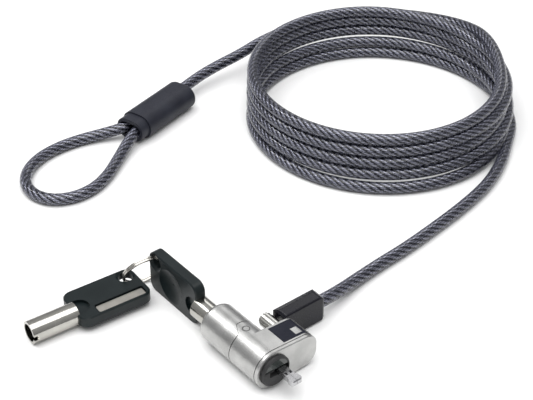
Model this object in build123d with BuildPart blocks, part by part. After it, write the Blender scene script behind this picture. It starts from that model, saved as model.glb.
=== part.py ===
"""Laptop cable lock: a keyed lock head on a swivel, a two-metre coated steel cable with an
eye loop at its far end, and two tubular keys on a split ring.

Frame: millimetres, +Z up. The barrel's axis is the Y axis, the key goes in towards -Y, and
the locking jaws leave the head towards -Y. The origin is on the barrel's axis, in the outer
face of the front plate. The lock lies on a surface at z = FLOOR.
"""

from build123d import *
from math import cos, pi, radians, sin, tan
import os

# ---------------------------------------------------------------- fits
RUNNING = 0.05
EASE = 0.06
HAIR = 0.02
OVER = 1.0

# ---------------------------------------------------------------- lock head: shells
BARREL_R = 7.0
FLOOR = -BARREL_R
BARREL_END = 30.4
BARREL_END_ROUND = 1.7
WING_REACH = 17.8
WING_HALF_HEIGHT = 6.1
WING_CORNER_R = 5.0
WING_BACK = 11.5
WING_BACK_ROUND = 0.6
PARTING_LOW_Y = 14.0
PARTING_HIGH_Y = 17.9
PARTING_STEP_X = (-3.0, -0.9)
PARTING_BEND_R = 1.3
PLATE_THICK = 1.2
PLATE_CHAMFER = 0.25
SHADOW_GAP = 0.28
FACE_BORE_R = 5.65
PLATE_PINS = [(-10.4, 3.6), (-10.4, -3.6)]
PLATE_PIN_R = 0.8
PLATE_PIN_START = 0.5
PLATE_PIN_LENGTH = 4.5
BODY_START = PLATE_THICK + SHADOW_GAP
BODY_LENGTH = 20.0
PANEL_X = (5.8, 15.4)
PANEL_Y = (2.1, 10.4)
PANEL_THICK = 0.8
STUD_CENTRE = (12.9, 4.7)
STUD_SIZE = (2.7, 3.2)
EMBLEM_CENTRE = (0.4, 14.5)
EMBLEM_R = 1.5
EMBLEM_FLOOR = 6.2
EMBLEM_THICK = 0.75
GRUB_Y = 9.0
GRUB_R = 1.0
GRUB_BASE = FLOOR + 0.3
GRUB_LENGTH = 1.4
GRUB_HOLE_DEPTH = 3.0
GRUB_SOCKET_R = 0.55
GRUB_SOCKET_DEPTH = 0.8

# ---------------------------------------------------------------- lock cylinder
CORE_R = 5.2
CORE_FRONT = 4.2
CORE_BACK = 28.7
KEYWAY_R = 4.2
KEYWAY_EASE = 0.15
NOTCH_WIDTH = 1.7
NOTCH_R = 4.8
NOTCH_RING_Y = (22.4, 24.6)
SHEAR_Y = 14.2
BLOCK_FRONT = 8.2
SPINDLE_R = 1.45
POST_R = 2.95
POST_STANDS_OUT = 0.8
POST_CHAMFER = 0.4
PIN_CIRCLE_R = 3.55
PIN_R = 0.44
PIN_COUNT = 4
PIN_EASE = 0.03
SPRING_WALL = 0.18
DRIVER_LENGTH = 2.5
SPRING_LENGTH = 1.9
BLOCK_HOLE = DRIVER_LENGTH + SPRING_LENGTH + 0.1
ROTOR_START = SHEAR_Y + RUNNING
ROTOR_END = 21.4
CAM_FRONT = 4.4
CAM_LOBE = (0.62, 1.22)
CAM_HUB_R = 2.3
CAM_HUB_Y = (6.55, 8.0)
CAM_PIN_R = 0.4
CAM_PIN_Y = 7.3
CAM_PIN_HALF = 2.2
SQUARE = 1.9

# ---------------------------------------------------------------- jaws and their seat
TIP_X = 1.9
JAW_HALF_GAP = 0.06
JAW_NECK = 1.55
JAW_HOOKS = {-1: 1.85, 1: 2.2}
JAW_HALF_HEIGHT = 1.05
JAW_REACH = -9.2
JAW_TRAVEL = 0.6
JAW_NOSE = (0.5, 0.6)
JAW_HOOK_BACK = (2.2, 2.8)
JAW_END_CHAMFER = 0.35
JAW_POCKET_CENTRE = (0.85, -4.8)
JAW_POCKET_SIZE = (0.9, 1.2)
JAW_POCKET_DEPTH = 1.2
TAIL_INNER = 0.75
TAIL_OUTER = 1.9
TAIL_END = CORE_FRONT + 2.1
LINK_DEPTH = 1.2
LINK_BACK = {-1: 2.4, 1: CORE_FRONT - 0.15}
SLOT_MARGIN = JAW_TRAVEL + 0.2
JAW_SLOT_X = (-TAIL_OUTER - SLOT_MARGIN, TIP_X + JAW_NECK + SLOT_MARGIN)
JAW_SLOT_HEIGHT = 2 * (JAW_HALF_HEIGHT + EASE)
PAD_R = 5.6
PAD_FRONT = -1.5
PAD_CHAMFER = 0.5
PAD_SLOT = (5.9, 2.6)
NOSE_R = 4.95
NOSE_FRONT = -1.2
NOSE_LOW = 1.3
GUIDE_CLEARANCE = 0.1

# ---------------------------------------------------------------- keys
KEY_TUBE_R = 4.05
KEY_TUBE_BORE_R = 3.15
KEY_BORE_DEPTH = 14.0
KEY_LENGTH = 43.2
KEY_TIP_TO_BOW = 16.2
KEY_LUG_X = 0.9
KEY_LUG = (1.1, 1.3, 1.2)
KEY_SLOT = (2.2, 1.6, 1.6)
TUBE_BODY = KEY_TIP_TO_BOW + 0.9
TUBE_EASE = 0.08
TANG_SECTION = (6.0, 1.2)
TANG_LENGTH = 9.0
TANG_EASE = 0.04
BOW_THICK = 4.2
BOW_LOW = -7.3
BOW_HIGH = 9.35
BOW_LENGTH = KEY_LENGTH - KEY_TIP_TO_BOW
BOW_MIDDLE = ((KEY_LENGTH + KEY_TIP_TO_BOW) / 2, (BOW_HIGH + BOW_LOW) / 2)
BOW_CORNER_R = 3.4
BOW_CHAMFER = 0.4
NOTCH_CENTRE_X = KEY_TIP_TO_BOW + 2.4
NOTCH_END_R = 3.7
NOTCH_DEPTH = 1.1
STRIP_CENTRE = (KEY_TIP_TO_BOW + 16.1, -4.2)
STRIP_SIZE = (17.6, 3.5)
STRIP_THICK = 0.5
STRIP_CORNER_R = 0.5
STRIP_RECESS = 1.1
STRIP_MARGIN = 0.8
DISH_R = 17.0
DISH_DEPTH = 1.3
DISH_CENTRE = (KEY_TIP_TO_BOW + 14.5, 0.6)
RING_HOLE_OFFSET = 5.8
RING_HOLE_INSET = 3.6
RING_HOLE_R = 2.6
RING_SINK = 0.9
KEY_1_TIP_Y = 22.0
KEY_2_TIP = (-49.5, 66.45)
KEY_2_TURN = radians(-4.4)

# ---------------------------------------------------------------- split ring
RING_R = 7.51
RING_CENTRE = (-4.05, 65.78, 0.66)
RING_NORMAL = (0.1725, 0.9001, 0.4)
RING_WIRE = (0.9, 0.8)
RING_WIRE_ROUND = 0.2
RING_WIRE_STEP = 0.38

# ---------------------------------------------------------------- swivel and boot
SWIVEL_X = 12.9
SWIVEL_PIN_START = 3.0
SWIVEL_PIN_R = 1.5
SWIVEL_HOLE_LENGTH = 10.0
SWIVEL_HEAD_R = 2.2
SWIVEL_HEAD_THICK = 0.9
SWIVEL_HEAD_CHAMFER = 0.4
SWIVEL_EYE_R = 2.6
SWIVEL_EYE_CHAMFER = 0.35
EYE_Y = (WING_BACK + 0.45, 20.5)
WASHER_START = WING_BACK + 0.03
WASHER_THICK = 0.38
SHANK_END = 20.0
SHANK_R = 2.5
CRIMP_END = 29.0
CRIMP_R = 2.6
BOOT_AXIS_Y = 16.8
BOOT_AXIS_Z = -1.2
BOOT_START = 15.9
BOOT_END = 34.0
BOOT_WIDTH = 6.4
BOOT_LOW = FLOOR + 0.4
BOOT_HIGH = 3.9
BOOT_EDGE_R = 0.7
BOOT_PLAN_R = 2.9
BOOT_START_R = 2.0
BOOT_SIDE_R = 4.6
BOOT_BEVEL = (2.4, 1.1)
BOOT_EASE = 0.4

# ---------------------------------------------------------------- cable
CABLE_D = 4.4
CABLE_R = CABLE_D / 2
CABLE_REST = FLOOR + CABLE_R + HAIR
BEND_SHARE = 0.45
COIL_CENTRE = (133.5, 95.2)
COIL_LEAN = (0.83, 1.42)
COIL_R = 52.5
COIL_TAPER = 0.4
COIL_TURNS = 5
COIL_SLACK = 0.7
CROSSING_SINK = 2.8
COIL_FIRST_ANGLE = -45.0
COIL_LAST_ANGLE = -15.0

# ---------------------------------------------------------------- loop ferrule
FERRULE_FROM = (77.6, 155.1, FLOOR + 5.25)
FERRULE_HEADING = radians(195.9)
FERRULE_LENGTH = 30.2
FERRULE_END_ROUND = 1.8
FERRULE_SECTION = (14.4, 10.4)
COLLAR_LENGTH = 4.6
COLLAR_SECTION = (13.0, 9.2)
MOUTH_SECTION = (10.6, 6.0)
MOUTH_DEPTH = 3.0
CRIMP_SECTION = (10.4, 6.0)
CRIMP_SPAN = (6.0, 26.0)
TURNED_END = 4.0
STRAND_END = FERRULE_LENGTH + COLLAR_LENGTH - MOUTH_DEPTH
STRAND_OFFSET = 2.4


def disc(plane, radius, length):
    """A cylinder standing on a plane."""
    with BuildPart() as made:
        with BuildSketch(plane):
            Circle(radius)
        extrude(amount=length)
    return made.part


def along_y(start, x=0.0, z=0.0):
    """A plane whose normal is +Y, with its own x and y along -X and Z."""
    return Plane(origin=(x, start, z), x_dir=(-1, 0, 0), z_dir=(0, 1, 0))


def along_x(start, y, z):
    """A plane whose normal is +X."""
    return Plane(origin=(start, y, z), x_dir=(0, 1, 0), z_dir=(1, 0, 0))


def upright(x, y, z):
    """A plane whose normal is +Z."""
    return Plane(origin=(x, y, z), x_dir=(1, 0, 0), z_dir=(0, 0, 1))


def save(part, name):
    """Label a finished piece and write it."""
    part.label = name
    export_step(part, f"parts/{name}.step")


os.makedirs("parts", exist_ok=True)


# ---------------------------------------------------------------- lock head: shells
def head_outline():
    """The head's end view: the barrel's circle wrapped together with the wing's rounded end."""
    corner_x = -(WING_REACH - WING_CORNER_R)
    corner_z = WING_HALF_HEIGHT - WING_CORNER_R
    with BuildSketch() as outline:
        with BuildLine():
            CenterArc((0, 0), BARREL_R, 0, 360)
            CenterArc((corner_x, corner_z), WING_CORNER_R, 0, 360)
            CenterArc((corner_x, -corner_z), WING_CORNER_R, 0, 360)
        make_hull()
    return outline.sketch


def parting_tool(shift):
    """The block ahead of the S-shaped parting line between the front body and the rear sleeve."""
    low_side = PARTING_LOW_Y + shift
    high_side = PARTING_HIGH_Y + shift
    reach = 2 * BARREL_R + WING_REACH
    with BuildPart() as tool:
        with BuildSketch(Plane.XY.offset(-2 * BARREL_R)):
            with BuildLine():
                s_line = FilletPolyline(
                    (-reach, low_side),
                    (PARTING_STEP_X[0], low_side),
                    (PARTING_STEP_X[1], high_side),
                    (reach, high_side),
                    radius=PARTING_BEND_R,
                )
                Polyline(s_line @ 1, (reach, -OVER), (-reach, -OVER), s_line @ 0)
            make_face()
        extrude(amount=4 * BARREL_R)
    return tool.part


def panel_block(margin, depth):
    """The band under the wing's top skin that the inlay panel fills."""
    with BuildPart() as band:
        with BuildSketch(along_y(PANEL_Y[0] - margin)):
            add(head_outline())
            offset(head_outline(), amount=-depth, mode=Mode.SUBTRACT)
        extrude(amount=PANEL_Y[1] - PANEL_Y[0] + 2 * margin)
        with BuildSketch(Plane.XY):
            with Locations(((PANEL_X[0] + PANEL_X[1]) / 2, (PANEL_Y[0] + PANEL_Y[1]) / 2)):
                Rectangle(PANEL_X[1] - PANEL_X[0] + 2 * margin, PANEL_Y[1] - PANEL_Y[0] + 2 * margin)
        extrude(amount=2 * BARREL_R, mode=Mode.INTERSECT)
    return band.part


with BuildPart() as front_plate:
    with BuildSketch(along_y(0)):
        add(head_outline())
        Circle(FACE_BORE_R, mode=Mode.SUBTRACT)
    extrude(amount=PLATE_THICK)
    chamfer(front_plate.faces().sort_by(Axis.Y)[0].outer_wire().edges(), PLATE_CHAMFER)
    with BuildSketch(along_y(PLATE_PIN_START)):
        with Locations(*PLATE_PINS):
            Circle(PLATE_PIN_R)
    extrude(amount=PLATE_THICK, mode=Mode.SUBTRACT)
save(front_plate.part, "front_plate")

with BuildPart() as plate_pins:
    with BuildSketch(along_y(PLATE_PIN_START)):
        with Locations(*PLATE_PINS):
            Circle(PLATE_PIN_R)
    extrude(amount=PLATE_PIN_LENGTH)
save(plate_pins.part, "plate_pins")

with BuildPart() as head_body:
    with BuildSketch(along_y(BODY_START)):
        add(head_outline())
    extrude(amount=WING_BACK - BODY_START)
    fillet(head_body.faces().sort_by(Axis.Y)[-1].outer_wire().edges(), WING_BACK_ROUND)
    with BuildSketch(along_y(BODY_START)):
        Circle(BARREL_R)
    extrude(amount=BODY_LENGTH)
    add(parting_tool(0), mode=Mode.INTERSECT)
    add(disc(along_y(BODY_START), CORE_R, BODY_LENGTH), mode=Mode.SUBTRACT)
    add(panel_block(0.0, PANEL_THICK), mode=Mode.SUBTRACT)
    add(disc(along_y(SWIVEL_PIN_START, SWIVEL_X), SWIVEL_PIN_R, SWIVEL_HOLE_LENGTH), mode=Mode.SUBTRACT)
    add(disc(upright(*EMBLEM_CENTRE, EMBLEM_FLOOR), EMBLEM_R, 2 * OVER), mode=Mode.SUBTRACT)
    add(disc(upright(0, GRUB_Y, FLOOR - OVER), GRUB_R, OVER + GRUB_HOLE_DEPTH), mode=Mode.SUBTRACT)
    for pin_x, pin_z in PLATE_PINS:
        add(
            disc(along_y(PLATE_PIN_START, -pin_x, pin_z), PLATE_PIN_R, PLATE_PIN_LENGTH),
            mode=Mode.SUBTRACT,
        )
save(head_body.part, "head_body")

with BuildPart() as wing_panel:
    add(panel_block(-EASE, PANEL_THICK - HAIR))
    with BuildSketch(Plane.XY):
        with Locations(STUD_CENTRE):
            Rectangle(*STUD_SIZE)
    extrude(amount=2 * BARREL_R, mode=Mode.SUBTRACT)
save(wing_panel.part, "wing_panel")

with BuildPart() as panel_stud:
    add(panel_block(-EASE, PANEL_THICK - 2 * HAIR))
    with BuildSketch(Plane.XY):
        with Locations(STUD_CENTRE):
            Rectangle(STUD_SIZE[0] - 4 * HAIR, STUD_SIZE[1] - 4 * HAIR)
    extrude(amount=2 * BARREL_R, mode=Mode.INTERSECT)
save(panel_stud.part, "panel_stud")

with BuildPart() as emblem_disc:
    add(disc(upright(*EMBLEM_CENTRE, EMBLEM_FLOOR), EMBLEM_R - 2 * HAIR, EMBLEM_THICK))
save(emblem_disc.part, "emblem_disc")

with BuildPart() as rear_sleeve:
    with BuildSketch(along_y(BODY_START)):
        Circle(BARREL_R)
    extrude(amount=BARREL_END - BODY_START)
    fillet(rear_sleeve.edges().filter_by(GeomType.CIRCLE).sort_by(Axis.Y)[-1], BARREL_END_ROUND)
    add(parting_tool(SHADOW_GAP), mode=Mode.SUBTRACT)
    add(disc(along_y(BODY_START), CORE_R, CORE_BACK - BODY_START), mode=Mode.SUBTRACT)
    add(disc(along_y(CORE_BACK), KEYWAY_R + KEYWAY_EASE, BARREL_END), mode=Mode.SUBTRACT)
    with BuildSketch(along_y(CORE_BACK)):
        with Locations((0, KEYWAY_R)):
            Rectangle(NOTCH_WIDTH, 2 * (NOTCH_R - KEYWAY_R))
    extrude(amount=BARREL_END, mode=Mode.SUBTRACT)
save(rear_sleeve.part, "rear_sleeve")

with BuildPart() as grub_screw:
    add(disc(upright(0, GRUB_Y, GRUB_BASE), GRUB_R, GRUB_LENGTH))
    with BuildSketch(upright(0, GRUB_Y, GRUB_BASE)):
        RegularPolygon(GRUB_SOCKET_R, 6)
    extrude(amount=GRUB_SOCKET_DEPTH, mode=Mode.SUBTRACT)
save(grub_screw.part, "grub_screw")


# ---------------------------------------------------------------- lock head: seat and jaws
with BuildPart() as face_pad:
    add(disc(along_y(PAD_FRONT), PAD_R, BODY_START - PAD_FRONT))
    chamfer(face_pad.edges().sort_by(Axis.Y)[0], PAD_CHAMFER)
    with BuildSketch(along_y(PAD_FRONT)):
        Circle(NOSE_R)
        with Locations((0, NOSE_LOW - 2 * NOSE_R)):
            Rectangle(4 * NOSE_R, 4 * NOSE_R, mode=Mode.SUBTRACT)
        with Locations((-TIP_X, 0)):
            Rectangle(*PAD_SLOT)
        with Locations((-sum(JAW_SLOT_X) / 2, 0)):
            Rectangle(JAW_SLOT_X[1] - JAW_SLOT_X[0], JAW_SLOT_HEIGHT)
    extrude(amount=BODY_START - PAD_FRONT, mode=Mode.SUBTRACT)
save(face_pad.part, "face_pad")

with BuildPart() as jaw_guide:
    add(disc(along_y(BODY_START), CORE_R, CORE_FRONT - BODY_START - GUIDE_CLEARANCE))
    with BuildSketch(along_y(NOSE_FRONT)):
        Circle(NOSE_R - RUNNING)
        with Locations((0, NOSE_LOW - 2 * NOSE_R + RUNNING)):
            Rectangle(4 * NOSE_R, 4 * NOSE_R, mode=Mode.SUBTRACT)
    extrude(amount=BODY_START - NOSE_FRONT)
    with BuildSketch(along_y(NOSE_FRONT)):
        with Locations((-sum(JAW_SLOT_X) / 2, 0)):
            Rectangle(JAW_SLOT_X[1] - JAW_SLOT_X[0], JAW_SLOT_HEIGHT)
    extrude(amount=CORE_FRONT - NOSE_FRONT, mode=Mode.SUBTRACT)
save(jaw_guide.part, "jaw_guide")


def make_jaw(side):
    """One hooked jaw of the tip: a flat bar beside the axis, linked back to a tail on the axis."""
    inner = TIP_X + side * JAW_HALF_GAP
    outer = TIP_X + side * JAW_NECK
    hook = TIP_X + side * JAW_HOOKS[side]
    link_back = LINK_BACK[side]
    tail_edges = (side * TAIL_INNER, side * TAIL_OUTER)
    with BuildPart() as jaw:
        with BuildSketch(Plane.XY.offset(-JAW_HALF_HEIGHT)):
            with BuildLine():
                Polyline(
                    (inner, JAW_REACH),
                    (hook - side * JAW_NOSE[0], JAW_REACH),
                    (hook, JAW_REACH + JAW_NOSE[1]),
                    (hook, JAW_REACH + JAW_HOOK_BACK[0]),
                    (outer, JAW_REACH + JAW_HOOK_BACK[1]),
                    (outer, link_back),
                    (inner, link_back),
                    close=True,
                )
            make_face()
            with BuildLine():
                Polyline(
                    (min(*tail_edges, inner, outer), link_back - LINK_DEPTH),
                    (max(*tail_edges, inner, outer), link_back - LINK_DEPTH),
                    (max(*tail_edges, inner, outer), link_back),
                    (min(*tail_edges, inner, outer), link_back),
                    close=True,
                )
            make_face()
            with BuildLine():
                Polyline(
                    (tail_edges[0], link_back - LINK_DEPTH),
                    (tail_edges[1], link_back - LINK_DEPTH),
                    (tail_edges[1], TAIL_END),
                    (tail_edges[0], TAIL_END),
                    close=True,
                )
            make_face()
        extrude(amount=2 * JAW_HALF_HEIGHT)
        end_edges = jaw.edges().filter_by(Axis.X).group_by(Axis.Y)[0]
        chamfer(end_edges, JAW_END_CHAMFER)
        with BuildSketch(Plane.XY.offset(JAW_HALF_HEIGHT)):
            with Locations((TIP_X + side * JAW_POCKET_CENTRE[0], JAW_POCKET_CENTRE[1])):
                Rectangle(*JAW_POCKET_SIZE)
        extrude(amount=-JAW_POCKET_DEPTH, mode=Mode.SUBTRACT)
    return jaw.part


save(make_jaw(-1), "jaw_left")
save(make_jaw(1), "jaw_right")


# ---------------------------------------------------------------- lock cylinder
with BuildPart() as lock_housing:
    add(disc(along_y(CORE_FRONT), CORE_R, CORE_BACK - CORE_FRONT))
    add(disc(along_y(CORE_FRONT), KEYWAY_R, CORE_BACK - CORE_FRONT), mode=Mode.SUBTRACT)
    add(disc(along_y(NOTCH_RING_Y[0]), NOTCH_R, NOTCH_RING_Y[1] - NOTCH_RING_Y[0]), mode=Mode.SUBTRACT)
    with BuildSketch(along_y(NOTCH_RING_Y[1])):
        with Locations((0, KEYWAY_R)):
            Rectangle(NOTCH_WIDTH, 2 * (NOTCH_R - KEYWAY_R))
    extrude(amount=CORE_BACK - NOTCH_RING_Y[1], mode=Mode.SUBTRACT)
save(lock_housing.part, "lock_housing")

def pin_places():
    """The pin circle's places, off the vertical by half a step."""
    return PolarLocations(PIN_CIRCLE_R, PIN_COUNT, start_angle=45)


with BuildPart() as pin_block:
    add(disc(along_y(BLOCK_FRONT), KEYWAY_R, SHEAR_Y - BLOCK_FRONT))
    add(disc(along_y(BLOCK_FRONT), SPINDLE_R + RUNNING, SHEAR_Y - BLOCK_FRONT), mode=Mode.SUBTRACT)
    with BuildSketch(along_y(SHEAR_Y - BLOCK_HOLE)):
        with pin_places():
            Circle(PIN_R + PIN_EASE)
    extrude(amount=BLOCK_HOLE, mode=Mode.SUBTRACT)
save(pin_block.part, "pin_block")

with BuildPart() as driver_pins:
    with BuildSketch(along_y(SHEAR_Y - DRIVER_LENGTH)):
        with pin_places():
            Circle(PIN_R)
    extrude(amount=DRIVER_LENGTH)
save(driver_pins.part, "driver_pins")

with BuildPart() as driver_springs:
    with BuildSketch(along_y(SHEAR_Y - DRIVER_LENGTH - SPRING_LENGTH)):
        with pin_places():
            Circle(PIN_R - HAIR)
            Circle(PIN_R - HAIR - SPRING_WALL, mode=Mode.SUBTRACT)
    extrude(amount=SPRING_LENGTH)
save(driver_springs.part, "driver_springs")

with BuildPart() as rotor:
    add(disc(along_y(ROTOR_START), KEYWAY_R - RUNNING, ROTOR_END - ROTOR_START))
    add(disc(along_y(ROTOR_END), POST_R, CORE_BACK + POST_STANDS_OUT - ROTOR_END))
    chamfer(rotor.edges().filter_by(GeomType.CIRCLE).sort_by(Axis.Y)[-1], POST_CHAMFER)
    add(disc(along_y(CAM_HUB_Y[1]), SPINDLE_R, ROTOR_START - CAM_HUB_Y[1]))
    with BuildSketch(along_y(CAM_HUB_Y[0])):
        Rectangle(SQUARE, SQUARE)
    extrude(amount=CAM_HUB_Y[1] - CAM_HUB_Y[0])
    with BuildSketch(along_y(ROTOR_START)):
        with pin_places():
            Circle(PIN_R + HAIR)
    extrude(amount=ROTOR_END - ROTOR_START, mode=Mode.SUBTRACT)
    add(disc(along_x(-CAM_HUB_R, CAM_PIN_Y, 0), CAM_PIN_R, 2 * CAM_HUB_R), mode=Mode.SUBTRACT)
save(rotor.part, "rotor")

with BuildPart() as key_pins:
    with BuildSketch(along_y(ROTOR_START)):
        with pin_places():
            Circle(PIN_R)
    extrude(amount=ROTOR_END - ROTOR_START)
save(key_pins.part, "key_pins")

with BuildPart() as cam:
    add(disc(along_y(CAM_HUB_Y[0]), CAM_HUB_R, CAM_HUB_Y[1] - CAM_HUB_Y[0]))
    with BuildSketch(along_y(CAM_HUB_Y[0])):
        Rectangle(SQUARE, SQUARE)
    extrude(amount=CAM_HUB_Y[1] - CAM_HUB_Y[0], mode=Mode.SUBTRACT)
    with BuildSketch(along_y(CAM_FRONT)):
        Ellipse(*CAM_LOBE)
    extrude(amount=CAM_HUB_Y[0] - CAM_FRONT)
    add(disc(along_x(-CAM_HUB_R, CAM_PIN_Y, 0), CAM_PIN_R, 2 * CAM_HUB_R), mode=Mode.SUBTRACT)
save(cam.part, "cam")

with BuildPart() as cam_pin:
    add(disc(along_x(-CAM_PIN_HALF, CAM_PIN_Y, 0), CAM_PIN_R, 2 * CAM_PIN_HALF))
save(cam_pin.part, "cam_pin")


# ---------------------------------------------------------------- keys
def along_key(start):
    """A plane across a key, its own x towards the ring-hole side and its y through the bow."""
    return Plane(origin=(start, 0, 0), x_dir=(0, 1, 0), z_dir=(1, 0, 0))


with BuildPart() as key_tube:
    add(disc(along_key(0), KEY_TUBE_R, TUBE_BODY))
    add(disc(along_key(0), KEY_TUBE_BORE_R, KEY_BORE_DEPTH), mode=Mode.SUBTRACT)
    with BuildSketch(along_key(TUBE_BODY)):
        Rectangle(*TANG_SECTION)
    extrude(amount=TANG_LENGTH)
    with BuildSketch(along_key(KEY_LUG_X)):
        with Locations((KEY_TUBE_R, 0)):
            Rectangle(*KEY_LUG[:2])
    extrude(amount=KEY_LUG[2])
    with BuildSketch(along_key(0)):
        with Locations((-KEY_TUBE_R, 0)):
            Rectangle(*KEY_SLOT[:2])
    extrude(amount=KEY_SLOT[2], mode=Mode.SUBTRACT)

with BuildPart() as key_bow:
    with BuildSketch(Plane.XY.offset(-BOW_THICK / 2)):
        with Locations(BOW_MIDDLE):
            RectangleRounded(BOW_LENGTH, BOW_HIGH - BOW_LOW, BOW_CORNER_R)
    extrude(amount=BOW_THICK)
    chamfer(key_bow.faces().sort_by(SortBy.AREA)[-2:].edges(), BOW_CHAMFER)
    add(
        disc(along_key(KEY_TIP_TO_BOW - OVER), KEY_TUBE_R + TUBE_EASE, TUBE_BODY - KEY_TIP_TO_BOW + OVER),
        mode=Mode.SUBTRACT,
    )
    with BuildSketch(along_key(TUBE_BODY)):
        Rectangle(TANG_SECTION[0] + TANG_EASE, TANG_SECTION[1] + TANG_EASE)
    extrude(amount=TANG_LENGTH + TANG_EASE, mode=Mode.SUBTRACT)
    for notch_floor, outward in ((BOW_THICK / 2 - NOTCH_DEPTH, 1), (NOTCH_DEPTH - BOW_THICK / 2, -1)):
        with BuildSketch(Plane.XY.offset(notch_floor)):
            with Locations((NOTCH_CENTRE_X, 0)):
                Circle(NOTCH_END_R)
            with Locations((NOTCH_CENTRE_X - NOTCH_END_R, 0)):
                Rectangle(2 * NOTCH_END_R, 2 * NOTCH_END_R)
        extrude(amount=outward * BOW_THICK, mode=Mode.SUBTRACT)
    with BuildSketch(Plane.XY.offset(BOW_THICK / 2 - STRIP_RECESS)):
        with Locations(STRIP_CENTRE):
            RectangleRounded(STRIP_SIZE[0] + STRIP_MARGIN, STRIP_SIZE[1] + STRIP_MARGIN, STRIP_MARGIN)
    extrude(amount=BOW_THICK, mode=Mode.SUBTRACT)
    with Locations((*DISH_CENTRE, DISH_DEPTH - DISH_R - BOW_THICK / 2)):
        Sphere(DISH_R, mode=Mode.SUBTRACT)
    with BuildSketch(Plane.XY.offset(-BOW_THICK)):
        with Locations((KEY_LENGTH - RING_HOLE_INSET, RING_HOLE_OFFSET)):
            Circle(RING_HOLE_R)
    extrude(amount=2 * BOW_THICK, mode=Mode.SUBTRACT)
    for face_z, sink_start, sink_end in (
        (BOW_THICK / 2, RING_HOLE_R, RING_HOLE_R + RING_SINK),
        (-BOW_THICK / 2, RING_HOLE_R + RING_SINK, RING_HOLE_R),
    ):
        low_z = face_z - RING_SINK if face_z > 0 else face_z
        with Locations((KEY_LENGTH - RING_HOLE_INSET, RING_HOLE_OFFSET, low_z + RING_SINK / 2)):
            Cone(sink_start, sink_end, RING_SINK, mode=Mode.SUBTRACT)

with BuildPart() as key_strip:
    with BuildSketch(Plane.XY.offset(BOW_THICK / 2 - STRIP_RECESS)):
        with Locations(STRIP_CENTRE):
            RectangleRounded(*STRIP_SIZE, STRIP_CORNER_R)
    extrude(amount=STRIP_THICK)

KEY_SEATS = {
    "key_1": Plane(origin=(0, KEY_1_TIP_Y, 0), x_dir=(0, 1, 0), z_dir=(1, 0, 0)),
    "key_2": Plane(
        origin=(*KEY_2_TIP, FLOOR + KEY_TUBE_R + HAIR / 2),
        x_dir=(cos(KEY_2_TURN), sin(KEY_2_TURN), 0),
        z_dir=(0, 0, 1),
    ),
}
for key_name, seat in KEY_SEATS.items():
    save(key_tube.part.moved(seat.location), f"{key_name}_tube")
    save(key_bow.part.moved(seat.location), f"{key_name}_bow")
    save(key_strip.part.moved(seat.location), f"{key_name}_strip")


# ---------------------------------------------------------------- split ring
with BuildPart() as split_ring:
    ring_plane = Plane(origin=RING_CENTRE, z_dir=RING_NORMAL)
    with BuildSketch(Plane(origin=ring_plane.origin, x_dir=ring_plane.x_dir, z_dir=-ring_plane.y_dir)):
        with Locations((RING_R, RING_WIRE_STEP), (RING_R, -RING_WIRE_STEP)):
            RectangleRounded(*RING_WIRE, RING_WIRE_ROUND)
    revolve(axis=Axis(ring_plane.origin, ring_plane.z_dir))
save(split_ring.part, "split_ring")


# ---------------------------------------------------------------- swivel and cable end
with BuildPart() as swivel_pin:
    add(disc(along_y(SWIVEL_PIN_START, SWIVEL_X), SWIVEL_PIN_R, EYE_Y[1] + RUNNING - SWIVEL_PIN_START))
    add(disc(along_y(EYE_Y[1] + RUNNING, SWIVEL_X), SWIVEL_HEAD_R, SWIVEL_HEAD_THICK))
    chamfer(swivel_pin.edges().sort_by(Axis.Y)[-1], SWIVEL_HEAD_CHAMFER)
save(swivel_pin.part, "swivel_pin")

with BuildPart() as swivel_washer:
    with BuildSketch(along_y(WASHER_START, SWIVEL_X)):
        Circle(SWIVEL_EYE_R)
        Circle(SWIVEL_PIN_R + RUNNING, mode=Mode.SUBTRACT)
    extrude(amount=WASHER_THICK)
save(swivel_washer.part, "swivel_washer")

with BuildPart() as swivel_eye:
    add(disc(along_y(EYE_Y[0], SWIVEL_X), SWIVEL_EYE_R, EYE_Y[1] - EYE_Y[0]))
    chamfer(swivel_eye.edges().filter_by(GeomType.CIRCLE), SWIVEL_EYE_CHAMFER)
    add(disc(along_x(SWIVEL_X, BOOT_AXIS_Y, BOOT_AXIS_Z), SHANK_R, SHANK_END - SWIVEL_X))
    add(
        disc(along_y(EYE_Y[0], SWIVEL_X), SWIVEL_PIN_R + RUNNING, EYE_Y[1] - EYE_Y[0]),
        mode=Mode.SUBTRACT,
    )
save(swivel_eye.part, "swivel_eye")

with BuildPart() as crimp_sleeve:
    with BuildSketch(along_x(SHANK_END, BOOT_AXIS_Y, BOOT_AXIS_Z)):
        Circle(CRIMP_R)
        Circle(CABLE_R, mode=Mode.SUBTRACT)
    extrude(amount=CRIMP_END - SHANK_END)
save(crimp_sleeve.part, "crimp_sleeve")

with BuildPart() as cable_end:
    add(disc(along_x(SHANK_END, BOOT_AXIS_Y, BOOT_AXIS_Z), CABLE_R, BOOT_END - SHANK_END))
save(cable_end.part, "cable_end")

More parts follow.
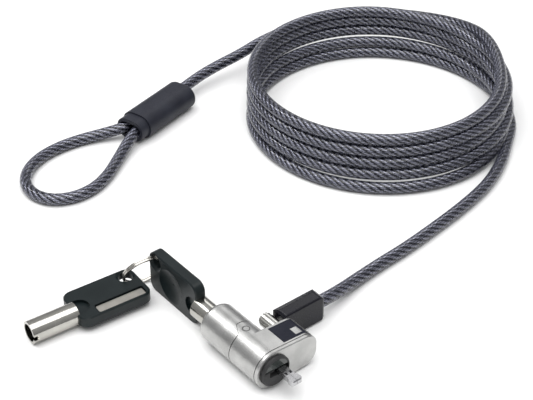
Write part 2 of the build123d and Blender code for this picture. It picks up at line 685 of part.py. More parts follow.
with BuildPart() as cable_boot:
    near_y = BOOT_AXIS_Y - BOOT_WIDTH / 2
    far_y = BOOT_AXIS_Y + BOOT_WIDTH / 2
    boot_middle_x = (BOOT_START + BOOT_END) / 2
    with BuildSketch(along_x(BOOT_START - OVER, 0, 0)):
        with BuildLine():
            FilletPolyline(
                (near_y, BOOT_LOW),
                (far_y, BOOT_LOW),
                (far_y, BOOT_HIGH - BOOT_BEVEL[1]),
                (far_y - BOOT_BEVEL[0], BOOT_HIGH),
                (near_y, BOOT_HIGH),
                radius=BOOT_EDGE_R,
                close=True,
            )
        make_face()
    extrude(amount=BOOT_END - BOOT_START + 2 * OVER)
    with BuildSketch(Plane.XY.offset(BOOT_LOW - OVER)) as boot_plan:
        with Locations((boot_middle_x, BOOT_AXIS_Y)):
            Rectangle(BOOT_END - BOOT_START, BOOT_WIDTH + BOOT_EASE)
        fillet(boot_plan.vertices().group_by(Axis.X)[-1], BOOT_PLAN_R)
    extrude(amount=BOOT_HIGH - BOOT_LOW + 2 * OVER, mode=Mode.INTERSECT)
    with BuildSketch(along_y(near_y - OVER)) as boot_side:
        with Locations((-boot_middle_x, (BOOT_LOW + BOOT_HIGH) / 2)):
            Rectangle(BOOT_END - BOOT_START + BOOT_EASE, BOOT_HIGH - BOOT_LOW + BOOT_EASE)
        fillet(boot_side.vertices().group_by(Axis.X)[0], BOOT_SIDE_R)
        fillet(boot_side.vertices().group_by(Axis.X)[-1], BOOT_START_R)
    extrude(amount=BOOT_WIDTH + 2 * OVER, mode=Mode.INTERSECT)
    for span_start, span_end, span_r in (
        (SWIVEL_X, SHANK_END, SHANK_R),
        (SHANK_END, CRIMP_END, CRIMP_R),
        (CRIMP_END, BOOT_END, CABLE_R),
    ):
        add(
            disc(along_x(span_start, BOOT_AXIS_Y, BOOT_AXIS_Z), span_r, span_end - span_start),
            mode=Mode.SUBTRACT,
        )
save(cable_boot.part, "cable_boot")


# ---------------------------------------------------------------- cable
def bend_radii(points):
    """The bend radius at every inner point of a route: as wide as the shorter run beside it allows."""
    radii = []
    for before, here, after in zip(points, points[1:], points[2:]):
        run_in = Vector(here) - Vector(before)
        run_out = Vector(after) - Vector(here)
        turn = radians(run_in.get_angle(run_out))
        radii.append(BEND_SHARE * min(run_in.length, run_out.length) / tan(turn / 2))
    return radii


def cable_tube(points, name):
    """A length of cable swept along a filleted route."""
    radii = bend_radii(points)
    with BuildPart() as tube:
        with BuildLine():
            route = FilletPolyline(*points, radius=radii)
        with BuildSketch(Plane(origin=route @ 0, z_dir=route % 0)):
            Circle(CABLE_R)
        sweep()
    save(tube.part, name)
    expected = pi * CABLE_R**2 * route.length
    print(f"{name}: length {route.length:.1f}, tightest bend {min(radii):.1f}")
    print(f"  volume {tube.part.volume:.1f}, section x length {expected:.1f}, runs {len(points) - 1}")
    return route.length


def coil_layer(layer):
    """Centre, mean radius and underside of one layer of the coil."""
    centre_x = COIL_CENTRE[0] + COIL_LEAN[0] * layer
    centre_y = COIL_CENTRE[1] + COIL_LEAN[1] * layer
    low = FLOOR + CABLE_D * layer - (CROSSING_SINK if layer == COIL_TURNS else 0)
    return centre_x, centre_y, COIL_R - COIL_TAPER * layer, low


def coil_point(layer, angle):
    """A point of the cable's centreline on one layer of the coil."""
    centre_x, centre_y, radius, low = coil_layer(layer)
    turned = radians(angle)
    return (centre_x + radius * cos(turned), centre_y + radius * sin(turned), low + CABLE_R)


TAIL_ROUTE = [
    (BOOT_END, BOOT_AXIS_Y, BOOT_AXIS_Z),
    (42.5, 18.1, -2.6),
    (52.5, 20.4, -4.3),
    (65.0, 22.0, CABLE_REST),
    (80.0, 22.9, CABLE_REST),
    (97.0, 25.1, CABLE_REST),
    (114.0, 27.7, CABLE_REST),
    (131.0, 31.6, CABLE_REST),
    (145.5, 38.1, CABLE_REST),
    (158.3, 46.6, CABLE_REST),
    coil_point(0, COIL_FIRST_ANGLE),
]

ARM_ROUTE = [
    coil_point(COIL_TURNS, COIL_LAST_ANGLE),
    (192.3, 105.8, 12.3),
    (188.8, 125.2, 9.3),
    (177.7, 141.7, 8.1),
    (161.6, 153.7, 7.1),
    (142.2, 160.2, 5.4),
    (124.6, 161.9, 3.5),
    (112.0, 160.6, 2.0),
    (101.7, 161.3, 0.5),
    (91.5, 160.9, -0.7),
    (82.7, 159.05, -1.5),
    (76.94, 157.41, FERRULE_FROM[2]),
]

LOOP_ROUTE = [
    (46.35, 148.70, FERRULE_FROM[2]),
    (41.0, 150.4, -2.9),
    (34.0, 153.9, -4.3),
    (25.5, 156.4, CABLE_REST),
    (16.0, 156.8, CABLE_REST),
    (6.8, 154.9, CABLE_REST),
    (-1.2, 150.2, CABLE_REST),
    (-6.3, 142.7, CABLE_REST),
    (-7.0, 134.3, CABLE_REST),
    (-3.2, 127.3, CABLE_REST),
    (4.5, 123.7, CABLE_REST),
    (13.5, 124.2, CABLE_REST),
    (22.2, 128.3, CABLE_REST),
    (30.5, 134.2, -4.4),
    (38.5, 139.6, -3.3),
    (43.4, 142.4, -2.4),
    (47.67, 144.08, FERRULE_FROM[2]),
]

with BuildPart() as cable_coil:
    for layer in range(COIL_TURNS):
        layer_x, layer_y, layer_r, layer_low = coil_layer(layer)
        with BuildSketch(Plane.XY.offset(layer_low + HAIR)):
            with Locations((layer_x, layer_y)):
                Circle(layer_r + CABLE_R + COIL_SLACK)
                Circle(layer_r - CABLE_R - COIL_SLACK, mode=Mode.SUBTRACT)
        extrude(amount=CABLE_D)
    layer_x, layer_y, layer_r, layer_low = coil_layer(COIL_TURNS)
    with BuildSketch(Plane.XY.offset(layer_low + HAIR)):
        with BuildLine():
            CenterArc((layer_x, layer_y), layer_r, COIL_FIRST_ANGLE, COIL_LAST_ANGLE - COIL_FIRST_ANGLE)
        trace(line_width=CABLE_D + 2 * COIL_SLACK)
    extrude(amount=CABLE_D)
save(cable_coil.part, "cable_coil")

tail_length = cable_tube(TAIL_ROUTE, "cable_tail")
arm_length = cable_tube(ARM_ROUTE, "cable_arm")
loop_length = cable_tube(LOOP_ROUTE, "cable_loop")


# ---------------------------------------------------------------- loop ferrule
FERRULE_SEAT = Plane(
    origin=FERRULE_FROM,
    x_dir=(-sin(FERRULE_HEADING), cos(FERRULE_HEADING), 0),
    z_dir=(cos(FERRULE_HEADING), sin(FERRULE_HEADING), 0),
)


def stadium(section):
    """A round-ended section."""
    with BuildSketch() as made:
        RectangleRounded(*section, section[1] / 2 - HAIR)
    return made.sketch


def strands(radius):
    """The standing strand through the ferrule and the returned strand beside it."""
    with BuildPart() as pair:
        with BuildSketch(FERRULE_SEAT):
            with Locations((-STRAND_OFFSET, 0)):
                Circle(radius)
        extrude(amount=STRAND_END)
        with BuildSketch(FERRULE_SEAT.offset(TURNED_END)):
            with Locations((STRAND_OFFSET, 0)):
                Circle(radius)
        extrude(amount=STRAND_END - TURNED_END)
    return pair.part


with BuildPart() as loop_ferrule:
    with BuildSketch(FERRULE_SEAT):
        add(stadium(FERRULE_SECTION))
    extrude(amount=FERRULE_LENGTH)
    ferrule_axis = Axis(FERRULE_SEAT.origin, FERRULE_SEAT.z_dir)
    fillet(loop_ferrule.edges().group_by(ferrule_axis)[0], FERRULE_END_ROUND)
    with BuildSketch(FERRULE_SEAT.offset(FERRULE_LENGTH)):
        add(stadium(COLLAR_SECTION))
    extrude(amount=COLLAR_LENGTH)
    with BuildSketch(FERRULE_SEAT.offset(STRAND_END)):
        add(stadium(MOUTH_SECTION))
    extrude(amount=MOUTH_DEPTH, mode=Mode.SUBTRACT)
    with BuildSketch(FERRULE_SEAT.offset(CRIMP_SPAN[0])):
        add(stadium(CRIMP_SECTION))
    extrude(amount=CRIMP_SPAN[1] - CRIMP_SPAN[0], mode=Mode.SUBTRACT)
    add(strands(CABLE_R), mode=Mode.SUBTRACT)
save(loop_ferrule.part, "loop_ferrule")

with BuildPart() as ferrule_crimp:
    with BuildSketch(FERRULE_SEAT.offset(CRIMP_SPAN[0])):
        add(stadium(CRIMP_SECTION))
    extrude(amount=CRIMP_SPAN[1] - CRIMP_SPAN[0])
    add(strands(CABLE_R), mode=Mode.SUBTRACT)
save(ferrule_crimp.part, "ferrule_crimp")

with BuildPart() as ferrule_strands:
    add(strands(CABLE_R))
save(ferrule_strands.part, "ferrule_strands")

coil_length = sum(
    radians(360) * coil_layer(layer)[2] for layer in range(COIL_TURNS)
) + radians(COIL_LAST_ANGLE - COIL_FIRST_ANGLE) * coil_layer(COIL_TURNS)[2]
strand_length = 2 * STRAND_END - TURNED_END
end_length = BOOT_END - SHANK_END
print("cable total", end_length + tail_length + coil_length + arm_length + strand_length + loop_length)
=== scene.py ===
"""Looks of the laptop cable lock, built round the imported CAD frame."""

import math

import bpy
import numpy as np
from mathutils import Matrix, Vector


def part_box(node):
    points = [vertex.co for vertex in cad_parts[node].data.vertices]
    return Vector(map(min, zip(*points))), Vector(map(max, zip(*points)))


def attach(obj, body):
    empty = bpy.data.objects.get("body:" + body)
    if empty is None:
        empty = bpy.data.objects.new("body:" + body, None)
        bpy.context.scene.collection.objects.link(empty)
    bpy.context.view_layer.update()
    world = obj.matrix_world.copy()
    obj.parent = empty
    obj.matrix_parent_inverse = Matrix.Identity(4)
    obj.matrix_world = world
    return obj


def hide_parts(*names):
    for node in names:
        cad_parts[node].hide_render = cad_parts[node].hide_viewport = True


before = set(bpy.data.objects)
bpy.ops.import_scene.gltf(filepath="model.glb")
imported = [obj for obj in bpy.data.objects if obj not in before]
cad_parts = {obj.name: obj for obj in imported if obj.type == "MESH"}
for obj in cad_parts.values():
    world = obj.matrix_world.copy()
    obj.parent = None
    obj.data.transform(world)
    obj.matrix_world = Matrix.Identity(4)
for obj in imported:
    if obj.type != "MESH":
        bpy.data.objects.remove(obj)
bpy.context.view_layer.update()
MM = 0.001

# ------------------------------------------------------------------ camera
LENS_MM = 89.16
SENSOR_WIDTH_MM = 36
CAMERA_PLACE = (-0.19309, -0.23526, 0.287)
CAMERA_TILT = 54
CAMERA_HEADING = -38.94

camera_data = bpy.data.cameras.new("camera")
camera_data.lens = LENS_MM
camera_data.sensor_width = SENSOR_WIDTH_MM
camera = bpy.data.objects.new("camera", camera_data)
camera.location = CAMERA_PLACE
camera.rotation_euler = (math.radians(CAMERA_TILT), 0, math.radians(CAMERA_HEADING))
bpy.context.scene.collection.objects.link(camera)
bpy.context.scene.camera = camera

# ------------------------------------------------------------------ shader helpers
SHADER = "Principled BSDF"
MIX_FIRST, MIX_SECOND, MIX_RESULT = 6, 7, 2  # the colour sockets of a Mix node


def new_material(name, **values):
    """A Principled material, its node tree and its shader, with the shader's sockets set."""
    made = bpy.data.materials.new(name)
    made.use_nodes = True
    shader = made.node_tree.nodes[SHADER]
    for key, value in values.items():
        socket = shader.inputs[key.replace("_", " ")]
        socket.default_value = (*value, 1) if isinstance(value, tuple) else value
    return made, made.node_tree, shader


def node(tree, kind, inputs=None, **settings):
    """Adds a node; inputs are numbers, colours or sockets to link."""
    made = tree.nodes.new(kind)
    for key, value in settings.items():
        setattr(made, key, value)
    for key, value in (inputs or {}).items():
        if isinstance(value, bpy.types.NodeSocket):
            tree.links.new(value, made.inputs[key])
        else:
            made.inputs[key].default_value = value
    return made


def calculated(tree, operation, *values):
    """The result of a Math node on numbers or sockets."""
    return node(tree, "ShaderNodeMath", dict(enumerate(values)), operation=operation).outputs[0]


def noise(tree, scale, detail=2.0):
    """Noise in the frame's coordinates; scale is cells per metre."""
    place = node(tree, "ShaderNodeTexCoord").outputs["Object"]
    return node(
        tree, "ShaderNodeTexNoise", {"Vector": place, "Scale": scale, "Detail": detail}
    ).outputs["Fac"]


def spread(tree, factor, low, high, start=0.35, end=0.65):
    """Maps a factor to numbers between low and high; most noise lies from start to end."""
    return node(
        tree,
        "ShaderNodeMapRange",
        {"Value": factor, "From Min": start, "From Max": end, "To Min": low, "To Max": high},
    ).outputs["Result"]


def blend_colours(tree, factor, first, second):
    """A colour between two, by a factor."""
    mix = node(tree, "ShaderNodeMix", {"Factor": factor}, data_type="RGBA")
    for index, colour in ((MIX_FIRST, first), (MIX_SECOND, second)):
        if isinstance(colour, bpy.types.NodeSocket):
            tree.links.new(colour, mix.inputs[index])
        else:
            mix.inputs[index].default_value = (*colour, 1)
    return mix.outputs[MIX_RESULT]


def bump(tree, shader, height, depth):
    """Links a bump of a height to a shader; depth is in millimetres."""
    made = node(tree, "ShaderNodeBump", {"Height": height, "Distance": depth * MM, "Strength": 1.0})
    tree.links.new(made.outputs["Normal"], shader.inputs["Normal"])


# ------------------------------------------------------------------ metals and plastics
BROAD_METAL = 160  # cells per metre of the slow changes in tone
BROAD_PLASTIC = 120
TARNISH = 0.82  # how bright tarnished metal is, against clean metal


def metal(name, colour, rough, grain=2600, depth=0.004):
    """Plated metal: a little unevenness in its shine, a fine grain and faint tarnish."""
    made, tree, shader = new_material(name, Metallic=1.0)
    broad = noise(tree, BROAD_METAL, 3)
    fine = noise(tree, grain)
    tarnished = tuple(c * TARNISH for c in colour)
    toned = blend_colours(tree, spread(tree, broad, 0, 1), colour, tarnished)
    tree.links.new(toned, shader.inputs["Base Color"])
    tree.links.new(spread(tree, fine, rough * 0.8, rough * 1.25), shader.inputs["Roughness"])
    bump(tree, shader, fine, depth)
    return made


def plastic(name, colour, lighter, rough, grain=1800, depth=0.01, coat=0.0, specular=0.5):
    """Moulded plastic: fine moulded grain, slight colour variation and a coat where glossy."""
    made, tree, shader = new_material(
        name, Coat_Weight=coat, Coat_Roughness=0.08, Specular_IOR_Level=specular
    )
    broad = noise(tree, BROAD_PLASTIC, 3)
    fine = noise(tree, grain, 3)
    toned = blend_colours(tree, spread(tree, broad, 0, 1), colour, lighter)
    tree.links.new(toned, shader.inputs["Base Color"])
    tree.links.new(spread(tree, fine, rough * 0.85, rough * 1.15), shader.inputs["Roughness"])
    bump(tree, shader, fine, depth)
    return made


def draw_ring(made, node_name, radius, half_width, colour):
    """Draws a thin ring on a material, seen along Z, round the middle of a node; in mm."""
    tree = made.node_tree
    shader = tree.nodes[SHADER]
    low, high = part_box(node_name)
    x, y, _ = [(a + b) / 2 for a, b in zip(low, high)]
    place = node(tree, "ShaderNodeTexCoord").outputs["Object"]
    flattened = node(
        tree, "ShaderNodeMapping", {"Vector": place, "Location": (-x, -y, 0), "Scale": (1, 1, 0)}
    ).outputs["Vector"]
    distance = node(tree, "ShaderNodeVectorMath", {0: flattened}, operation="LENGTH").outputs["Value"]
    ringed = calculated(tree, "COMPARE", distance, radius * MM, half_width * MM)
    plated = shader.inputs["Base Color"].links[0].from_socket
    tree.links.new(blend_colours(tree, ringed, plated, colour), shader.inputs["Base Color"])


SATIN = {"colour": (0.50, 0.50, 0.49), "rough": 0.34, "grain": 5200, "depth": 0.008}
satin = metal("satin_plating", **SATIN)
emblem_metal = metal("emblem_metal", **SATIN)
draw_ring(emblem_metal, "emblem_disc", radius=1.15, half_width=0.2, colour=(0.13, 0.13, 0.13))
bright = metal("bright_plating", (0.56, 0.555, 0.53), rough=0.16)
chrome = metal("chrome", (0.50, 0.50, 0.51), rough=0.22, depth=0.002)
key_metal = metal("key_nickel", (0.50, 0.49, 0.455), rough=0.14, depth=0.003)
strip_metal = metal("strip_metal", (0.50, 0.48, 0.44), rough=0.36, grain=3800, depth=0.01)
ring_metal = metal("ring_steel", (0.50, 0.485, 0.45), rough=0.2)
# near-black, far darker than steel: painted shade, so the core parts seen through the narrow gaps
# between the shells read as dark shaded gap lines
gap_shade_core = metal("core_steel_gap_shade", (0.06, 0.06, 0.06), rough=0.5)
brass = metal("brass", (0.62, 0.44, 0.18), rough=0.3)

bow_plastic = plastic(
    "bow_plastic", (0.004, 0.008, 0.009), (0.007, 0.012, 0.013),
    rough=0.34, grain=2400, depth=0.012, specular=0.3,
)
boot_plastic = plastic(
    "boot_plastic", (0.003, 0.003, 0.006), (0.005, 0.005, 0.010), rough=0.24, specular=0.25
)
ferrule_plastic = plastic(
    "ferrule_plastic", (0.013, 0.014, 0.022), (0.020, 0.022, 0.032),
    rough=0.5, grain=2200, depth=0.02, specular=0.3,
)
pad_rubber = plastic(
    "pad_rubber", (0.016, 0.016, 0.017), (0.026, 0.026, 0.027), rough=0.62, grain=2600, depth=0.02
)
guide_plastic = plastic(
    "guide_plastic", (0.012, 0.018, 0.016), (0.02, 0.028, 0.025), rough=0.2, coat=0.5
)
inlay_plastic = plastic(
    "inlay_plastic", (0.007, 0.008, 0.016), (0.011, 0.012, 0.022), rough=0.5, specular=0.2
)

NODE_MATERIALS = {
    satin: ("front_plate", "head_body", "rear_sleeve", "panel_stud"),
    emblem_metal: ("emblem_disc",),
    bright: (
        "swivel_eye", "swivel_washer", "swivel_pin", "crimp_sleeve", "grub_screw", "plate_pins",
        "ferrule_crimp",
    ),
    chrome: ("jaw_left", "jaw_right"),
    key_metal: ("key_1_tube", "key_2_tube"),
    strip_metal: ("key_1_strip", "key_2_strip"),
    ring_metal: ("split_ring",),
    gap_shade_core: ("lock_housing", "rotor", "cam", "cam_pin", "driver_springs"),
    brass: ("pin_block", "driver_pins", "key_pins"),
    bow_plastic: ("key_1_bow", "key_2_bow"),
    boot_plastic: ("cable_boot",),
    ferrule_plastic: ("loop_ferrule",),
    pad_rubber: ("face_pad",),
    guide_plastic: ("jaw_guide",),
    inlay_plastic: ("wing_panel",),
}
for material, names in NODE_MATERIALS.items():
    for name in names:
        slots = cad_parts[name].data.materials
        slots.clear()
        slots.append(material)

# ------------------------------------------------------------------ the cable's route, in mm
FLOOR_Z = -7.0
CABLE_D = 4.4

# control points: from the boot to the coil, from the coil into the ferrule, and round the eye loop
TAIL = [
    (30.0, 16.8, -1.2), (34.0, 16.9, -1.3), (42.5, 18.1, -2.6), (52.5, 20.4, -4.3),
    (65.0, 22.0, -4.78), (80.0, 22.9, -4.78), (97.0, 25.1, -4.78), (114.0, 27.7, -4.78),
    (131.0, 31.6, -4.78), (145.5, 38.1, -4.78), (158.3, 46.6, -4.78),
]
ARM = [
    (192.3, 105.8, 12.3), (188.8, 125.2, 9.3), (177.7, 141.7, 8.1), (161.6, 153.7, 7.1),
    (142.2, 160.2, 5.4), (124.6, 161.9, 3.5), (112.0, 160.6, 2.0), (101.7, 161.3, 0.5),
    (91.5, 160.9, -0.7), (82.7, 159.05, -1.5), (76.94, 157.41, -1.75), (60.0, 152.58, -1.75),
]
LOOP = [
    (46.35, 148.70, -1.75), (41.0, 150.4, -2.9), (34.0, 153.9, -4.3), (25.5, 156.4, -4.78),
    (16.0, 156.8, -4.78), (6.8, 154.9, -4.78), (-1.2, 150.2, -4.78), (-6.3, 142.7, -4.78),
    (-7.0, 134.3, -4.78), (-3.2, 127.3, -4.78), (4.5, 123.7, -4.78), (13.5, 124.2, -4.78),
    (22.2, 128.3, -4.78), (30.5, 134.2, -4.4), (38.5, 139.6, -3.3), (43.4, 142.4, -2.4),
    (47.67, 144.08, -1.75), (71.2, 150.8, -1.75),
]

COIL_START, COIL_END = -45.0, 1785.0  # degrees, counted on through the turns
COIL_POINTS = 76
COIL_CENTRE_X, COIL_CENTRE_Y = 133.5, 95.2
COIL_DRIFT_X, COIL_DRIFT_Y = 0.83, 1.42  # each turn's centre from the one below
COIL_BASE = FLOOR_Z + 2.3  # height of the lowest turn's line
COIL_RADIUS = 52.5
NARROWING = 0.4  # each turn's radius against the one below
CORNER_CUT = 1.0225  # makes up for the smooth line running inside its control points

TURN_START, TURN_END = -45, 315  # degrees, where one turn goes over into the next
BACK_ANGLE, FRONT_ANGLE = 51, 231  # degrees, farthest from the camera and nearest to it
LEVEL_END, LIFT_ANGLE = 228, 275  # degrees, where a turn leaves its level and where it has risen
LIFT = 0.4
CROSSING_RISE = 3.8  # height of each crossing over the one below
SWAY = 1.05  # how far the turns stand in and out where they cross
SWAY_OVER, SWAY_BACK = 20, 255  # degrees, where a turn has left one crossing and nears the next
# how far each turn stands out at the front and at the back
FAN = ((0.6, -1.1), (-0.1, -0.7), (0.6, 0.9), (1.5, 0.3), (2.3, -1.3), (0, 0))
LAST_TURN = 5
LEAN, LEAN_ANGLE = 1.5, -15  # how far the last short turn leans out, and by what angle


def coil_point(angle):
    """A control point of the cable's line in the coil, for an angle counted on through the turns."""
    turn = math.floor((angle - TURN_START) / 360)
    inside = angle - 360 * turn
    level = CABLE_D * turn
    rise = np.interp(
        inside,
        (TURN_START, BACK_ANGLE, LEVEL_END, LIFT_ANGLE, TURN_END),
        (CROSSING_RISE * turn, level, level, level + LIFT, CROSSING_RISE * (turn + 1)),
    )
    sway = SWAY * (-1) ** turn
    nested = np.interp(inside, (TURN_START, SWAY_OVER, SWAY_BACK, TURN_END), (sway, 0, 0, -sway))
    front, back = FAN[turn]
    front_share = max(0, math.cos(math.radians(inside - FRONT_ANGLE)))
    back_share = max(0, math.cos(math.radians(inside - BACK_ANGLE)))
    fan = front * front_share + back * back_share
    radius = (COIL_RADIUS - NARROWING * turn + nested + fan) * CORNER_CUT
    if turn == LAST_TURN:
        radius += np.interp(inside, (TURN_START, LEAN_ANGLE), (0, LEAN))
    turned = math.radians(angle)
    return (
        COIL_CENTRE_X + COIL_DRIFT_X * turn + radius * math.cos(turned),
        COIL_CENTRE_Y + COIL_DRIFT_Y * turn + radius * math.sin(turned),
        COIL_BASE + rise,
    )


coil = [coil_point(a) for a in np.linspace(COIL_START, COIL_END, COIL_POINTS)]
route_points = [tuple(c * MM for c in p) for p in (*TAIL, *coil, *ARM, *LOOP)]


# ------------------------------------------------------------------ shapes swept along a line
def read_line(points, resolution):
    """The points of a smooth NURBS line through a route."""
    data = bpy.data.curves.new("route", "CURVE")
    data.dimensions = "3D"
    data.resolution_u = resolution
    spline = data.splines.new("NURBS")
    spline.points.add(len(points) - 1)
    for point, place in zip(spline.points, points):
        point.co = (*place, 1)
    spline.order_u = 3
    spline.use_endpoint_u = True
    holder = bpy.data.objects.new("route", data)
    mesh = bpy.data.meshes.new_from_object(holder)
    points_read = np.array([v.co for v in mesh.vertices])
    bpy.data.objects.remove(holder)
    bpy.data.curves.remove(data)
    bpy.data.meshes.remove(mesh)
    return points_read


def distances_along(line):
    """How far along a line each of its points is."""
    return np.concatenate([[0], np.cumsum(np.linalg.norm(np.diff(line, axis=0), axis=1))])


def frames_along(line):
    """Two cross directions at each point of a line, which don't twist along it."""
    tangents = np.gradient(line, axis=0)
    tangents /= np.linalg.norm(tangents, axis=1)[:, None]
    side = np.cross(tangents[0], (0, 0, 1.0))
    sides = []
    for tangent in tangents:
        side = side - tangent * np.dot(side, tangent)
        side /= np.linalg.norm(side)
        sides.append(side)
    sides = np.array(sides)
    return sides, np.cross(tangents, sides)


def swept(name, line, section, turns):
    """A closed mesh that carries a section's points along a line, turned by an angle at each."""
    sides, ups = frames_along(line)
    count = len(section)
    across, upward = np.array(section, float).T
    rings = []
    for centre, side, up, turn in zip(line, sides, ups, turns):
        c, s = math.cos(turn), math.sin(turn)
        x = across * c - upward * s
        y = across * s + upward * c
        rings.append(centre + x[:, None] * side + y[:, None] * up)
    faces = []
    for i in range(len(line) - 1):
        for j in range(count):
            k = (j + 1) % count
            faces.append((i * count + j, i * count + k, (i + 1) * count + k, (i + 1) * count + j))
    faces.append(tuple(range(count))[::-1])
    faces.append(tuple((len(line) - 1) * count + j for j in range(count)))
    mesh = bpy.data.meshes.new(name)
    mesh.from_pydata(np.concatenate(rings).tolist(), [], faces)
    mesh.shade_smooth()
    made = bpy.data.objects.new(name, mesh)
    bpy.context.scene.collection.objects.link(made)
    return made


def lobed(count, points_per_lobe, centre, radius):
    """The outline of round strands, of a radius, that stand in a ring with their centres on it."""
    points = []
    for j in range(count * points_per_lobe):
        angle = 2 * math.pi * j / (count * points_per_lobe)
        off = (angle + math.pi / count) % (2 * math.pi / count) - math.pi / count
        reach = centre * math.cos(off) + math.sqrt(max(0, radius**2 - (centre * math.sin(off)) ** 2))
        points.append((reach * math.cos(angle), reach * math.sin(angle)))
    return points


# ------------------------------------------------------------------ the cable
STRANDS = 6
POINTS_PER_STRAND = 8
STRAND_RING_R = 1.41 * MM
STRAND_R = 0.81 * MM
LAY = 19 * MM  # length of cable for one full turn of the strands
WIRES_PER_STRAND = 3
SHEATH_R = 2.32 * MM
SHEATH_SIDES = 24
LINE_RESOLUTION = 20


def mark_lay(piece, section, along):
    """Writes where the strands' crests are, and a map of millimetres along by strands across."""
    reach = np.hypot(*np.array(section).T)
    # crest is 0 in the grooves between strands and 1 on their crests; the strand shader paints shade
    # into the grooves from it
    crest = (reach - reach.min()) / (reach.max() - reach.min())
    layer = piece.data.attributes.new("crest", "FLOAT", "POINT")
    layer.data.foreach_set("value", np.tile(crest, len(along)))
    lay_map = piece.data.uv_layers.new(name="lay")
    for face in piece.data.polygons[:-2]:
        i, j = divmod(face.index, len(section))
        for loop, (step, side) in zip(face.loop_indices, ((0, 0), (0, 1), (1, 1), (1, 0))):
            lay_map.data[loop].uv = (along[i + step] / MM, (j + side) / POINTS_PER_STRAND)


def make_strand_steel():
    """Galvanised wires, laid parallel to the cable's axis, with painted shade: darker between the
    wires and near-black in the gaps between strands.
    """
    made, tree, shader = new_material("strand_steel", Metallic=0.85)
    fine = noise(tree, 500)
    crest = node(tree, "ShaderNodeAttribute", attribute_name="crest").outputs["Fac"]
    lay_place = node(tree, "ShaderNodeUVMap", uv_map="lay").outputs["UV"]
    place = node(tree, "ShaderNodeSeparateXYZ", {"Vector": lay_place})
    around = calculated(
        tree, "MULTIPLY_ADD", place.outputs["X"], STRANDS * MM / LAY, place.outputs["Y"]
    )
    wire = calculated(tree, "MULTIPLY", around, WIRES_PER_STRAND * 2.0)
    wave = calculated(tree, "PINGPONG", wire, 1.0)
    steel = blend_colours(tree, spread(tree, fine, 0, 1), (0.36, 0.37, 0.46), (0.58, 0.59, 0.72))
    # painted shading of the fine wires: each wire is lighter along its middle and dark (0.03) where
    # it meets the next, standing in for light on round wires
    painted_wire_shading = spread(tree, wave, 0.25, 1, 0.1, 0.9)
    steel_with_wire_shading = blend_colours(tree, painted_wire_shading, (0.03, 0.032, 0.045), steel)
    # painted shade: near-black (0.003) in the grooves between strands, following the crest attribute
    painted_gap_shade_mask = spread(tree, crest, 0, 1, 0.3, 0.95)
    toned = blend_colours(tree, painted_gap_shade_mask, (0.003, 0.003, 0.005), steel_with_wire_shading)
    tree.links.new(toned, shader.inputs["Base Color"])
    tree.links.new(spread(tree, fine, 0.2, 0.34), shader.inputs["Roughness"])
    bump(tree, shader, fine, 0.03)
    return made


def make_sheath_vinyl():
    """Clear, smoky vinyl, which shows the strands where it is looked at squarely."""
    made, tree, shader = new_material(
        "sheath_vinyl",
        IOR=1.6,
        Specular_IOR_Level=1.0,
        Sheen_Weight=0.35,
        Sheen_Roughness=0.25,
        Sheen_Tint=(0.66, 0.68, 0.86),
    )
    edge = node(tree, "ShaderNodeLayerWeight", {"Blend": 0.5}).outputs["Facing"]
    tree.links.new(spread(tree, edge, 0.3, 0.85, 0.3, 0.95), shader.inputs["Alpha"])
    broad = spread(tree, noise(tree, 300, 3), 0, 1)
    toned = blend_colours(tree, broad, (0.010, 0.011, 0.020), (0.020, 0.021, 0.034))
    tree.links.new(toned, shader.inputs["Base Color"])
    tree.links.new(spread(tree, noise(tree, 900), 0.08, 0.15), shader.inputs["Roughness"])
    return made


line = read_line(route_points, LINE_RESOLUTION)
along = distances_along(line)

strand_section = lobed(STRANDS, POINTS_PER_STRAND, STRAND_RING_R, STRAND_R)
cable_strands = swept("cable_strands", line, strand_section, 2 * math.pi * along / LAY)
mark_lay(cable_strands, strand_section, along)
cable_strands.data.materials.append(make_strand_steel())

sheath_section = [
    (SHEATH_R * math.cos(a), SHEATH_R * math.sin(a))
    for a in np.linspace(0, 2 * math.pi, SHEATH_SIDES, endpoint=False)
]
cable_sheath = swept("cable_sheath", line, sheath_section, np.zeros(len(line)))
cable_sheath.data.materials.append(make_sheath_vinyl())

for piece in (cable_strands, cable_sheath):
    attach(piece, "cable")
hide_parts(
    "cable_end", "cable_tail", "cable_coil", "cable_arm", "cable_loop", "ferrule_strands",
)

# ------------------------------------------------------------------ the floor, in metres
FLOOR_HALF = 6
FLOOR_SIGNS = ((-1, -1), (1, -1), (1, 1), (-1, 1))

floor_mesh = bpy.data.meshes.new("floor")
floor_corners = [(FLOOR_HALF * x, FLOOR_HALF * y, 0) for x, y in FLOOR_SIGNS]
floor_mesh.from_pydata(floor_corners, [], [(0, 1, 2, 3)])
floor = bpy.data.objects.new("floor", floor_mesh)
floor.location = (0, 0, FLOOR_Z * MM)
bpy.context.scene.collection.objects.link(floor)

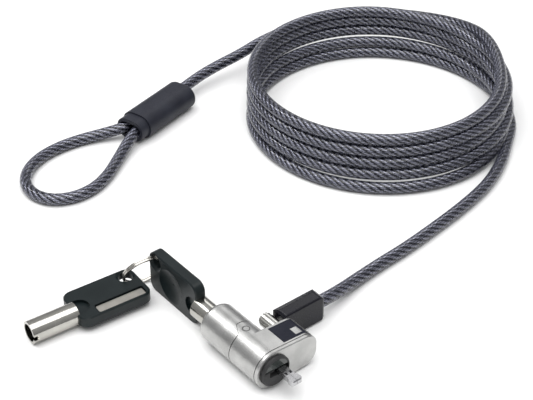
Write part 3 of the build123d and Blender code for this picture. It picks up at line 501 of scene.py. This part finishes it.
floor_white, tree, shader = new_material("floor_white", Roughness=0.9, Specular_IOR_Level=0.1)
cloudy = spread(tree, noise(tree, 3), 0, 1)
floor_tone = blend_colours(tree, cloudy, (0.90, 0.90, 0.895), (0.92, 0.92, 0.915))
tree.links.new(floor_tone, shader.inputs["Base Color"])
floor.data.materials.append(floor_white)

# ------------------------------------------------------------------ lights, in metres and watts
OBJECT_CENTRE = (0.08, 0.08, 0)
HEAD_CENTRE = (0, 0.02, 0)
WING_CENTRE = (0.03, 0.02, 0)


def area_light(name, place, target, size, power):
    """A rectangular light that faces a target."""
    data = bpy.data.lights.new(name, "AREA")
    data.shape = "RECTANGLE"
    data.size, data.size_y = size
    data.energy = power
    made = bpy.data.objects.new(name, data)
    made.location = place
    aim = Vector(target) - Vector(place)
    made.rotation_euler = aim.to_track_quat("-Z", "Y").to_euler()
    bpy.context.scene.collection.objects.link(made)


area_light("overhead", (-0.10, -0.02, 1.15), OBJECT_CENTRE, size=(1.5, 1.3), power=16)
area_light("streak", (-0.32, 0.86, 0.92), HEAD_CENTRE, size=(0.3, 0.5), power=3.0)
area_light("side", (0.60, 0.52, 0.56), WING_CENTRE, size=(0.35, 0.3), power=0.5)

# ------------------------------------------------------------------ the light all round
LOW_SKY = (0.34, 0.34, 0.35, 1)
HIGH_SKY = (0.90, 0.90, 0.91, 1)
SKY_STRENGTH = 0.7

world = bpy.data.worlds.new("studio")
bpy.context.scene.world = world
world.use_nodes = True
tree = world.node_tree
background = tree.nodes["Background"]
direction = node(tree, "ShaderNodeTexCoord").outputs["Generated"]
upwards = node(tree, "ShaderNodeSeparateXYZ", {"Vector": direction}).outputs["Z"]
ramp = node(tree, "ShaderNodeValToRGB", {"Fac": spread(tree, upwards, 0, 1, -0.2, 1.0)})
for element, colour in zip(ramp.color_ramp.elements, (LOW_SKY, HIGH_SKY)):
    element.color = colour
tree.links.new(ramp.outputs["Color"], background.inputs["Color"])
background.inputs["Strength"].default_value = SKY_STRENGTH
bpy.context.scene.view_settings.view_transform = "Standard"
